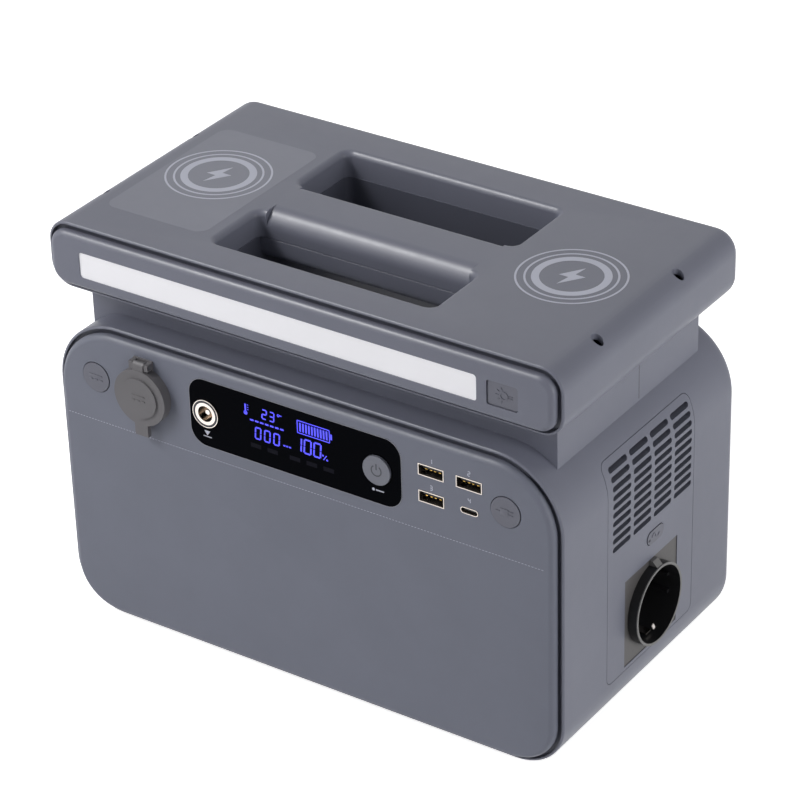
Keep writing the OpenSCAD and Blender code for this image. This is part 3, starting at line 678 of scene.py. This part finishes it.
@dataclass
class ChargingMarks:
    """Rings printed on the top over each charging coil, round a plain spark, and a film over the left ones.

    Sizes are in millimetres, and places are from the middle of the rings.
    """

    rings: tuple[Point, ...] = ((23.75, 24.67), (19.8, 20.75), (14.0, 17.45))
    spark: tuple[Point, ...] = ((1.6, 9.0), (-5.6, -1.4), (-0.8, -1.4), (-2.2, -9.0), (5.6, 2.0), (0.6, 2.0))
    lift: float = 0.06
    coil_reach: float = 25.0
    film_middle: Point = (1.05, -5.2)
    film_size: Point = (54.7, 91.0)
    film_corner: float = 6.0
    film_lift: float = 0.03

    def build(self) -> None:
        """Prints the marks over both coils and lays the film over the left ones."""
        low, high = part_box("coil_shields")
        reach = self.coil_reach * MM
        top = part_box("head_cover")[1].z
        left = Vector((low.x + reach, (low.y + high.y) / 2, top))
        right = Vector((high.x - reach, (low.y + high.y) / 2, top))
        self.marks("charging_mark_left", left)
        self.marks("charging_mark_right", right)
        film = Drawing(self.film_lift)
        film.shape(rounded_outline(*self.film_size, self.film_corner, self.film_middle))
        film.lay(Plane.TOP, left, "charging_film", FILM)

    def marks(self, name: str, middle: Vector) -> None:
        """Prints one set of rings with its spark.

        Args:
            name: Name of the piece.
            middle: The rings' middle, in metres.
        """
        drawing = Drawing(self.lift)
        for radii in self.rings:
            drawing.ring((0, 0), radii)
        drawing.shape(self.spark)
        drawing.lay(Plane.TOP, middle, name, PRINT)


@dataclass
class FrontMarks:
    """Fine print on the front: a dotted line, the ports' numbers, and marks at the jack and the power button.

    Sizes are in millimetres. A drop or a rise is from the piece that a mark belongs to, and the groove's
    radii are shares of the jack's own.
    """

    lift: float = 0.04
    dash: Point = (0.9, 0.22)
    gap: float = 0.75
    missing_dashes: int = 4
    line_drop: float = 48.7
    digits: Digits = Digits(2.6, 0.42)
    number_rise: float = 2.6
    arrow: tuple[Point, ...] = ((-1.6, 1.1), (1.6, 1.1), (0.0, -1.3))
    arrow_bar: Bar = (0.0, -1.9, 4.4, 0.45)
    arrow_drop: float = 3.2
    groove: Point = (0.8, 0.95)
    power_dot: Point = (-2.4, 0.0)
    power_dot_radius: float = 0.7
    power_bar: Bar = (1.0, 0.0, 4.2, 0.6)
    power_drop: float = 1.9

    def build(self) -> None:
        """Adds every mark on the front."""
        self.dotted_line()
        self.numbers()
        self.jack_mark()
        self.jack_groove()
        self.power_mark()

    def dotted_line(self) -> None:
        """Lays a row of dashes across the panel under the controls."""
        low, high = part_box("front_panel")
        pitch = self.dash[0] + self.gap
        count = int((high.x - low.x) / MM / pitch) - self.missing_dashes
        drawing = Drawing(self.lift)
        drawing.row(((-count / 2 * pitch, 0, *self.dash), (pitch, 0), count))
        place = front_of("front_panel")
        place.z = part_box("front_bezel")[1].z - self.line_drop * MM
        drawing.lay(Plane.FRONT, place, "dotted_line", PRINT)

    def numbers(self) -> None:
        """Numbers the ports from 1 to 4."""
        low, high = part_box("port_shells")
        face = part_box("front_panel")[0].y
        left = low.x + WIDE_PORT[0] / 2 * MM
        right = front_of("c_port_shell").x
        upper = high.z + self.number_rise * MM
        lower = low.z + (WIDE_PORT[1] + self.number_rise) * MM
        for number, x, z in ((1, left, upper), (2, right, upper), (3, left, lower), (4, right, lower)):
            drawing = Drawing(self.lift)
            self.digits.draw(drawing, str(number), (0, 0))
            place = Vector((x, face, z))
            drawing.lay(Plane.FRONT, place, f"port_number_{number}", PRINT)

    def _under(self, node: str, drop: float) -> Vector:
        """Gives a point on the window's face under a node, in metres, for a drop in millimetres."""
        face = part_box("display_window")[0].y
        return Vector((front_of(node).x, face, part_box(node)[0].z - drop * MM))

    def jack_mark(self) -> None:
        """Puts an arrow over a short bar under the jack."""
        drawing = Drawing(self.lift)
        drawing.shape(self.arrow)
        drawing.bar(self.arrow_bar)
        place = self._under("input_jack", self.arrow_drop)
        drawing.lay(Plane.FRONT, place, "jack_mark", PRINT)

    def jack_groove(self) -> None:
        """Draws a dark groove round the jack's face."""
        low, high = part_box("input_jack")
        radius = (high.x - low.x) / 2 / MM
        drawing = Drawing(self.lift)
        drawing.ring((0, 0), (self.groove[0] * radius, self.groove[1] * radius))
        drawing.lay(Plane.FRONT, front_of("input_jack"), "jack_groove", SEAM)

    def power_mark(self) -> None:
        """Puts a dot and a short bar under the power button."""
        drawing = Drawing(self.lift)
        drawing.disc(self.power_dot, self.power_dot_radius)
        drawing.bar(self.power_bar)
        place = self._under("power_button", self.power_drop)
        drawing.lay(Plane.FRONT, place, "power_mark", PRINT)


@dataclass
class DisplayFace:
    """Lit figures and unlit fields on the black window, and the window's fine pale edge.

    Sizes are in millimetres, and places are from the middle of the figures.
    """

    lift: float = 0.03
    temperature: Digits = Digits(5.2, 0.62, slant=0.08)
    temperature_middle: Point = (-14.6, 9.2)
    degree_middle: Point = (-9.0, 11.0)
    degree_radii: Point = (0.35, 0.7)
    degree_bar: Bar = (-7.8, 11.2, 1.2, 0.4)
    stem: Bar = (-26.8, 9.6, 0.8, 4.2)
    bulb: Point = (-26.8, 7.2)
    bulb_radius: float = 1.0
    ticks: Row = ((-25.5, 9.0, 0.8, 0.3), (0.0, 1.2), 3)
    power: Digits = Digits(6.4, 0.7, slant=0.08)
    power_middle: Point = (-15.5, -1.6)
    level: Digits = Digits(7.8, 0.8, pitch=0.66, slant=0.08)
    level_middle: Point = (6.2, -0.2)
    title: Row = ((-23.6, 4.4, 1.9, 0.8), (2.7, 0.0), 7)
    unit: Row = ((-6.4, -3.4, 1.1, 0.7), (1.5, 0.0), 3)
    percent_dots: tuple[Point, ...] = ((14.2, -1.9), (16.4, -3.7))
    percent_radius: float = 0.5
    percent_stroke: Bar = (15.3, -2.8, 0.4, 3.0)
    percent_turn: float = -35.0
    gauge: Bar = (9.6, 8.8, 17.0, 6.2)
    gauge_line: float = 0.45
    gauge_cap: Bar = (19.0, 8.8, 0.9, 2.8)
    gauge_bars: Row = ((2.58, 8.8, 0.85, 4.4), (1.56, 0.0), 10)
    fields: tuple[float, ...] = (-22.0, -13.0, -1.0, 8.0, 17.0)
    field_size: Point = (5.6, 2.2)
    field_drop: float = 8.4
    edge_corner: float = 8.5
    edge_line: float = 0.25
    edge_lift: float = 0.05

    def build(self) -> None:
        """Builds the lit figures, the unlit fields and the pale edge."""
        self.temperatures()
        self.numbers()
        self.battery()
        self.unlit_row()
        self.edge()

    def _lay(self, drawing: Drawing, name: str, finish: Finish = LIT) -> None:
        """Lays a drawing on the window, in the middle of the housing."""
        origin = Vector((housing_middle().x, *front_of("display_window").yz))
        drawing.lay(Plane.FRONT, origin, name, finish)

    def temperatures(self) -> None:
        """Draws the temperature with its unit, and a thermometer."""
        drawing = Drawing(self.lift)
        self.temperature.draw(drawing, "23", self.temperature_middle)
        drawing.ring(self.degree_middle, self.degree_radii, sides=20)
        drawing.bar(self.degree_bar)
        self._lay(drawing, "lit_temperature")
        drawing = Drawing(self.lift)
        drawing.bar(self.stem)
        drawing.disc(self.bulb, self.bulb_radius, sides=20)
        drawing.row(self.ticks)
        self._lay(drawing, "lit_thermometer")

    def numbers(self) -> None:
        """Draws the power, the battery's level, the percent sign and bars that stand for words."""
        drawing = Drawing(self.lift)
        self.power.draw(drawing, "000", self.power_middle)
        self.level.draw(drawing, "100", self.level_middle)
        self._lay(drawing, "lit_numbers")
        drawing = Drawing(self.lift)
        drawing.row(self.title)
        drawing.row(self.unit)
        for dot in self.percent_dots:
            drawing.disc(dot, self.percent_radius, sides=16)
        drawing.bar(self.percent_stroke, turn=self.percent_turn)
        self._lay(drawing, "lit_small_marks")

    def battery(self) -> None:
        """Draws the level gauge: a frame with a cap and ten bars."""
        x, y, width, height = self.gauge
        drawing = Drawing(self.lift)
        for side in (-1, 1):
            drawing.bar((x, y + side * height / 2, width, self.gauge_line))
            drawing.bar((x + side * width / 2, y, self.gauge_line, height))
        drawing.bar(self.gauge_cap)
        drawing.row(self.gauge_bars)
        self._lay(drawing, "lit_gauge")

    def unlit_row(self) -> None:
        """Draws the faint row of unlit fields under the figures."""
        drawing = Drawing(self.lift)
        for x in self.fields:
            drawing.bar((x, -self.field_drop, *self.field_size))
        self._lay(drawing, "unlit_fields", UNLIT)

    def edge(self) -> None:
        """Lines the window with a fine pale edge."""
        low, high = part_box("display_window")
        width, height = (high.x - low.x) / MM, (high.z - low.z) / MM
        drawing = Drawing(self.edge_lift)
        drawing.frame(width, height, self.edge_corner, self.edge_line)
        drawing.lay(Plane.FRONT, front_of("display_window"), "window_edge", EDGE)


@dataclass
class ButtonMarks:
    """Symbols on the push buttons of the front and on the socket's cap.

    Sizes are in millimetres and angles in degrees, about the middle of a symbol.
    """

    lift: float = 0.25
    print_lift: float = 0.06
    soft: float = 0.08
    cap_rise: float = 1.15
    direct_current: tuple[Bar, ...] = (
        (0.0, 1.1, 7.2, 0.75), (-2.7, -1.1, 1.8, 0.75), (0.0, -1.1, 1.8, 0.75), (2.7, -1.1, 1.8, 0.75),
    )
    plug_shell: Bar = (-0.6, 0.0, 4.0, 3.4)
    plug_soft: float = 0.1
    plug_lines: tuple[Bar, ...] = ((2.6, 0.9, 2.4, 0.6), (2.6, -0.9, 2.4, 0.6), (-3.8, 0.0, 2.4, 0.6))
    power_radii: Point = (2.25, 2.85)
    power_opening: Point = (125.0, 290.0)
    power_stroke: Bar = (0.0, 1.9, 0.6, 3.0)
    lamp_middle: float = 0.6
    lamp_radii: Point = (1.5, 2.1)
    lamp_lines: tuple[Bar, ...] = ((3.6, 0.5, 2.6, 0.4), (3.6, -0.5, 2.6, 0.4))
    ray_angles: tuple[float, ...] = (110.0, 145.0, 180.0, 215.0, 250.0)
    ray_reach: float = 3.4
    ray_size: Point = (1.3, 0.4)

    def build(self) -> None:
        """Puts a symbol on each button and on the cap."""
        self._mark("dc_button", self._direct_current(), KEY)
        self._mark("socket_cap", self._direct_current(), CAP, self.cap_rise)
        self._mark("usb_button", self._plug(), KEY)
        # The power symbol is dark with painted shade.
        self._mark("power_button", self._power(), SUNK_SYMBOL_SHADE)
        self._mark("light_button", self._lamp(), KEY)

    def _mark(self, node: str, drawing: Drawing, finish: Finish, rise: float = 0.0) -> None:
        """Lays a symbol on the front of a node.

        Args:
            node: The node, which is also its body's name.
            drawing: The symbol about its middle.
            finish: The symbol's finish.
            rise: How far the symbol sits above the middle of the node's box, in millimetres.
        """
        place = front_of(node) + Vector((0, 0, rise * MM))
        drawing.lay(Plane.FRONT, place, f"{node}_symbol", finish, node)

    def _direct_current(self) -> Drawing:
        """Draws a long bar over three short ones.

        Returns:
            The drawing.
        """
        drawing = Drawing(self.lift)
        for bar in self.direct_current:
            drawing.bar(bar, edge=self.soft)
        return drawing

    def _plug(self) -> Drawing:
        """Draws a plug: a shell, two contacts and a lead.

        Returns:
            The drawing.
        """
        drawing = Drawing(self.lift)
        drawing.bar(self.plug_shell, edge=self.plug_soft)
        for bar in self.plug_lines:
            drawing.bar(bar, edge=self.soft)
        return drawing

    def _power(self) -> Drawing:
        """Draws the usual broken ring with a stroke.

        Returns:
            The drawing.
        """
        drawing = Drawing(self.print_lift)
        drawing.ring((0, 0), self.power_radii, *self.power_opening, sides=48)
        drawing.bar(self.power_stroke)
        return drawing

    def _lamp(self) -> Drawing:
        """Draws a lamp with rays to its left.

        Returns:
            The drawing.
        """
        drawing = Drawing(self.lift)
        drawing.ring((self.lamp_middle, 0), self.lamp_radii, sides=32)
        for bar in self.lamp_lines:
            drawing.bar(bar)
        for angle in self.ray_angles:
            x = self.lamp_middle + math.cos(math.radians(angle)) * self.ray_reach
            y = math.sin(math.radians(angle)) * self.ray_reach
            drawing.bar((x, y, *self.ray_size), turn=angle)
        return drawing


@dataclass
class OutletDetail:
    """The collar's pale rim and block, a painted highlight on the end of the outlet's lower earth clip, and
    the AC button's marks.

    Sizes are in millimetres, and places are from the middle of the collar's face or of the button.
    """

    rim_radii: Point = (18.5, 19.65)
    rim: float = 0.5
    rim_sunk: float = 0.8
    block: tuple[Point, ...] = ((-4.7, 18.3), (-0.1, 18.3), (-0.1, 19.0), (-3.0, 22.1), (-4.7, 22.1))
    block_width: float = 4.4
    block_behind: float = 3.1
    # The clip's fields place a pale pill that paints a highlight on the clip's end.
    clip: Bar = (0.0, -13.1, 1.7, 3.4)
    clip_thickness: float = 0.8
    clip_turn: float = 30.0
    clip_soft: float = 0.4
    clip_depth: float = 3.4
    wave_radii: Point = (1.2, 1.75)
    wave_middles: Point = (-1.5, 1.45)
    wave_lift: float = 0.2
    slot_bar: Bar = (-5.4, -0.6, 1.6, 1.1)
    slot_lift: float = 0.05

    def build(self) -> None:
        """Adds the rim, the block, the painted highlight on the clip's end and the button's marks."""
        collar = right_of("outlet_plate")
        collar.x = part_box("outlet_well")[1].x
        self.on_collar(collar)
        self.on_button(right_of("ac_button"))

    def on_collar(self, middle: Vector) -> None:
        """Lays the rim on the collar, the block on its top and the painted highlight on the clip's end in it.

        Args:
            middle: Middle of the collar's face, in metres.
        """
        drawing = Drawing(self.rim)
        drawing.ring((0, 0), self.rim_radii)
        place = middle - Vector((self.rim * self.rim_sunk * MM, 0, 0))
        drawing.lay(Plane.RIGHT, place, "outlet_rim", OUTLET_RIM)
        drawing = Drawing(self.block_width)
        drawing.shape(self.block)
        place = middle + Vector((0, self.block_behind * MM, 0))
        drawing.lay(Plane.FRONT, place, "collar_gusset", OUTLET_RIM)
        # The pale pill on the clip's end is a painted highlight.
        drawing = Drawing(self.clip_thickness)
        drawing.bar(self.clip, turn=self.clip_turn, edge=self.clip_soft)
        place = middle - Vector((self.clip_depth * MM, 0, 0))
        drawing.lay(Plane.RIGHT, place, "earth_clip_end", CLIP_HIGHLIGHT)

    def on_button(self, middle: Vector) -> None:
        """Raises a wave of two arcs on the button above the outlet, beside a dark slot.

        Args:
            middle: Middle of the button's face, in metres.
        """
        drawing = Drawing(self.wave_lift)
        for x, start in zip(self.wave_middles, (0.0, 180.0)):
            drawing.ring((x, 0), self.wave_radii, start, sweep=180.0, sides=16)
        drawing.lay(Plane.RIGHT, middle, "ac_button_symbol", KEY, "ac_button")
        drawing = Drawing(self.slot_lift)
        drawing.bar(self.slot_bar)
        drawing.lay(Plane.RIGHT, middle, "ac_button_slot", SEAM, "ac_button")


@dataclass
class NeckSeam:
    """The fine upright seam on the right side of the neck.

    Sizes are in millimetres, from the point on the floor under the middle of the housing.
    """

    half_width: float = 123.3
    behind: float = 8.0
    rise: Point = (150.5, 172.0)
    line: float = 0.3
    lift: float = 0.03

    def build(self) -> None:
        """Lays the seam as a dark line."""
        lower, upper = self.rise
        drawing = Drawing(self.lift)
        drawing.bar((0, 0, self.line, upper - lower))
        place = housing_middle() + Vector((self.half_width, self.behind, (lower + upper) / 2)) * MM
        drawing.lay(Plane.RIGHT, place, "neck_seam", SEAM)


@dataclass
class PortContacts:
    """Gold contacts on the tongues of the wide ports, placed in millimetres from each port's middle."""

    offsets: tuple[float, ...] = (-3.5, -1.0, 1.0, 3.5)
    size: Point = (1.1, 0.25)
    drop: float = 0.2
    lift: float = 0.3

    def build(self) -> None:
        """Lays four contacts on the end of each tongue."""
        low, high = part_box("port_shells")
        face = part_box("port_tongues")[0].y
        half_width, half_height = (size / 2 * MM for size in WIDE_PORT)
        left, right = low.x + half_width, high.x - half_width
        upper, lower = high.z - half_height, low.z + half_height
        for number, (x, z) in enumerate(((left, upper), (right, upper), (left, lower)), start=1):
            drawing = Drawing(self.lift)
            for offset in self.offsets:
                drawing.bar((offset, -self.drop, *self.size))
            place = Vector((x, face, z))
            drawing.lay(Plane.FRONT, place, f"port_contacts_{number}", BRASS)


# ---- Stage ----


@dataclass(frozen=True)
class Lamp:
    """A square soft lamp, with its place and side in metres and its power in watts.

    A lamp that doesn't light what is matte only shows as a sheen on what is glossy.
    """

    name: str
    position: Triple
    size: float
    power: float
    lights_matte: bool = True

    def build(self, target: Vector) -> None:
        """Hangs the lamp.

        Args:
            target: The point that it is aimed at, in metres.
        """
        data = bpy.data.lights.new(self.name, "AREA")
        data.size = self.size
        data.energy = self.power
        lamp = bpy.data.objects.new(self.name, data)
        lamp.location = self.position
        lamp.visible_diffuse = self.lights_matte
        aim = target - Vector(self.position)
        lamp.rotation_euler = aim.to_track_quat("-Z", "Y").to_euler()
        bpy.context.scene.collection.objects.link(lamp)


@dataclass
class Studio:
    """Pale floor, white surroundings, soft lamps and the camera.

    Lengths are in metres and angles in degrees. The camera's position is from under the housing's middle.

    Attributes:
        lit_height: Height of the point that the lamps are aimed at.
        floor_glow: How much the floor adds of its own where the camera looks at it.
        focal: Focal length in pixels of the frame.
        frame: Width of that frame in pixels.
        sensor: Width of the camera's sensor in millimetres.
        shift: Where the lens axis sits off the frame's middle, as a share of its width.
    """

    lamps: tuple[Lamp, ...] = (
        Lamp("left_lamp", (-1.3, -1.3, 0.9), 1.4, 12.5),
        Lamp("edge_lamp", (-0.76, -0.835, 1.134), 0.35, 7.0),
        Lamp("right_lamp", (1.9, 0.2, 0.5), 1.0, 16.5),
        Lamp("back_lamp", (-0.5, 1.2, 1.3), 1.2, 2.0),
        Lamp("sheen_lamp", (-0.72, -0.42, 1.35), 0.3, 25.0, lights_matte=False),
    )
    lit_height: float = 0.1
    floor_reach: float = 6.0
    floor_grey: float = 0.82
    floor_roughness: float = 0.9
    floor_glow: float = 0.8
    sky: Colour = (0.95, 0.97, 1.0)
    sky_strength: float = 0.22
    azimuth: float = 34.497
    elevation: float = 32.119
    roll: float = -1.558
    position: Triple = (0.76788, -1.10229, 0.90107)
    focal: float = 3427.0
    frame: int = 800
    sensor: float = 36.0
    shift: Point = (-0.02036, 0.13524)
    clip: Point = (0.05, 50.0)

    def build(self) -> None:
        """Builds the floor, the world, the lamps and the camera."""
        self.floor()
        self.world()
        for lamp in self.lamps:
            lamp.build(Vector((0.0, 0.0, self.lit_height)))
        self.camera()
        bpy.context.scene.view_settings.view_transform = "Standard"

    def floor(self) -> None:
        """Lays a wide pale floor."""
        mesh = bmesh.new()
        bmesh.ops.create_grid(mesh, x_segments=1, y_segments=1, size=self.floor_reach)
        data = bpy.data.meshes.new("floor")
        mesh.to_mesh(data)
        mesh.free()
        floor = bpy.data.objects.new("floor", data)
        bpy.context.scene.collection.objects.link(floor)
        data.materials.append(self._pale())

    def _pale(self) -> bpy.types.Material:
        """Makes the floor's material, which is white to the camera where nothing shades it.

        Returns:
            The material.
        """
        made = bpy.data.materials.new("pale_floor")
        made.use_nodes = True
        tree = made.node_tree
        shader = tree.nodes["Principled BSDF"]
        shader.inputs["Base Color"].default_value = shifted((1.0, 1.0, 1.0), self.floor_grey)
        shader.inputs["Roughness"].default_value = self.floor_roughness
        glow = tree.nodes.new("ShaderNodeEmission")
        glow.inputs["Color"].default_value = WHITE
        glow.inputs["Strength"].default_value = self.floor_glow
        both = tree.nodes.new("ShaderNodeAddShader")
        tree.links.new(shader.outputs[0], both.inputs[0])
        tree.links.new(glow.outputs[0], both.inputs[1])
        mixed = self._mixed(tree, shader.outputs[0], both.outputs[0])
        tree.links.new(mixed, tree.nodes["Material Output"].inputs["Surface"])
        return made

    def _mixed(self, tree: bpy.types.NodeTree, lighting: bpy.types.NodeSocket,
               seen: bpy.types.NodeSocket) -> bpy.types.NodeSocket:
        """Shows one shader to rays that only light and another to those that the camera sees.

        Args:
            tree: The node tree.
            lighting: The shader for rays that only light.
            seen: The one for rays from the camera, or seen in metal or through glass.

        Returns:
            Both as one shader.
        """
        path = tree.nodes.new("ShaderNodeLightPath")
        share = path.outputs["Is Camera Ray"]
        for kind in ("Is Glossy Ray", "Is Transmission Ray"):
            either = tree.nodes.new("ShaderNodeMath")
            either.operation = "MAXIMUM"
            tree.links.new(share, either.inputs[0])
            tree.links.new(path.outputs[kind], either.inputs[1])
            share = either.outputs[0]
        mix = tree.nodes.new("ShaderNodeMixShader")
        for index, socket in enumerate((share, lighting, seen)):
            tree.links.new(socket, mix.inputs[index])
        return mix.outputs[0]

    def world(self) -> None:
        """Sets an even pale sky that is white to the camera."""
        world = bpy.data.worlds.new("studio_world")
        world.use_nodes = True
        tree = world.node_tree
        sky = tree.nodes["Background"]
        sky.inputs["Color"].default_value = (*self.sky, 1.0)
        sky.inputs["Strength"].default_value = self.sky_strength
        white = tree.nodes.new("ShaderNodeBackground")
        white.inputs["Color"].default_value = WHITE
        white.inputs["Strength"].default_value = 1.0
        mixed = self._mixed(tree, sky.outputs[0], white.outputs[0])
        tree.links.new(mixed, tree.nodes["World Output"].inputs["Surface"])
        bpy.context.scene.world = world

    def camera(self) -> None:
        """Creates the camera and makes it the scene's own."""
        data = bpy.data.cameras.new("studio_camera")
        data.sensor_width = self.sensor
        data.lens = self.focal / self.frame * self.sensor
        data.shift_x, data.shift_y = self.shift
        data.clip_start, data.clip_end = self.clip
        camera = bpy.data.objects.new("studio_camera", data)
        bpy.context.scene.collection.objects.link(camera)
        azimuth, elevation, roll = (math.radians(v) for v in (self.azimuth, self.elevation, self.roll))
        turn = (Matrix.Rotation(azimuth, 4, "Z") @ Matrix.Rotation(math.pi / 2 - elevation, 4, "X")
                @ Matrix.Rotation(roll, 4, "Z"))
        camera.matrix_world = Matrix.Translation(housing_middle() + Vector(self.position)) @ turn
        bpy.context.scene.camera = camera


def main() -> None:
    """Builds the station's pieces in order."""
    logging.basicConfig(level=logging.INFO, format="%(message)s")
    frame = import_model()
    LOG.info("the frame holds %d solids", len(frame["nodes"]))
    for part in (Solids(), Shells(), ChargingMarks(), FrontMarks(), DisplayFace(), ButtonMarks(),
                 OutletDetail(), NeckSeam(), PortContacts(), Studio()):
        part.build()
        LOG.info("built %s", type(part).__name__)


if __name__ == "__main__":
    main()
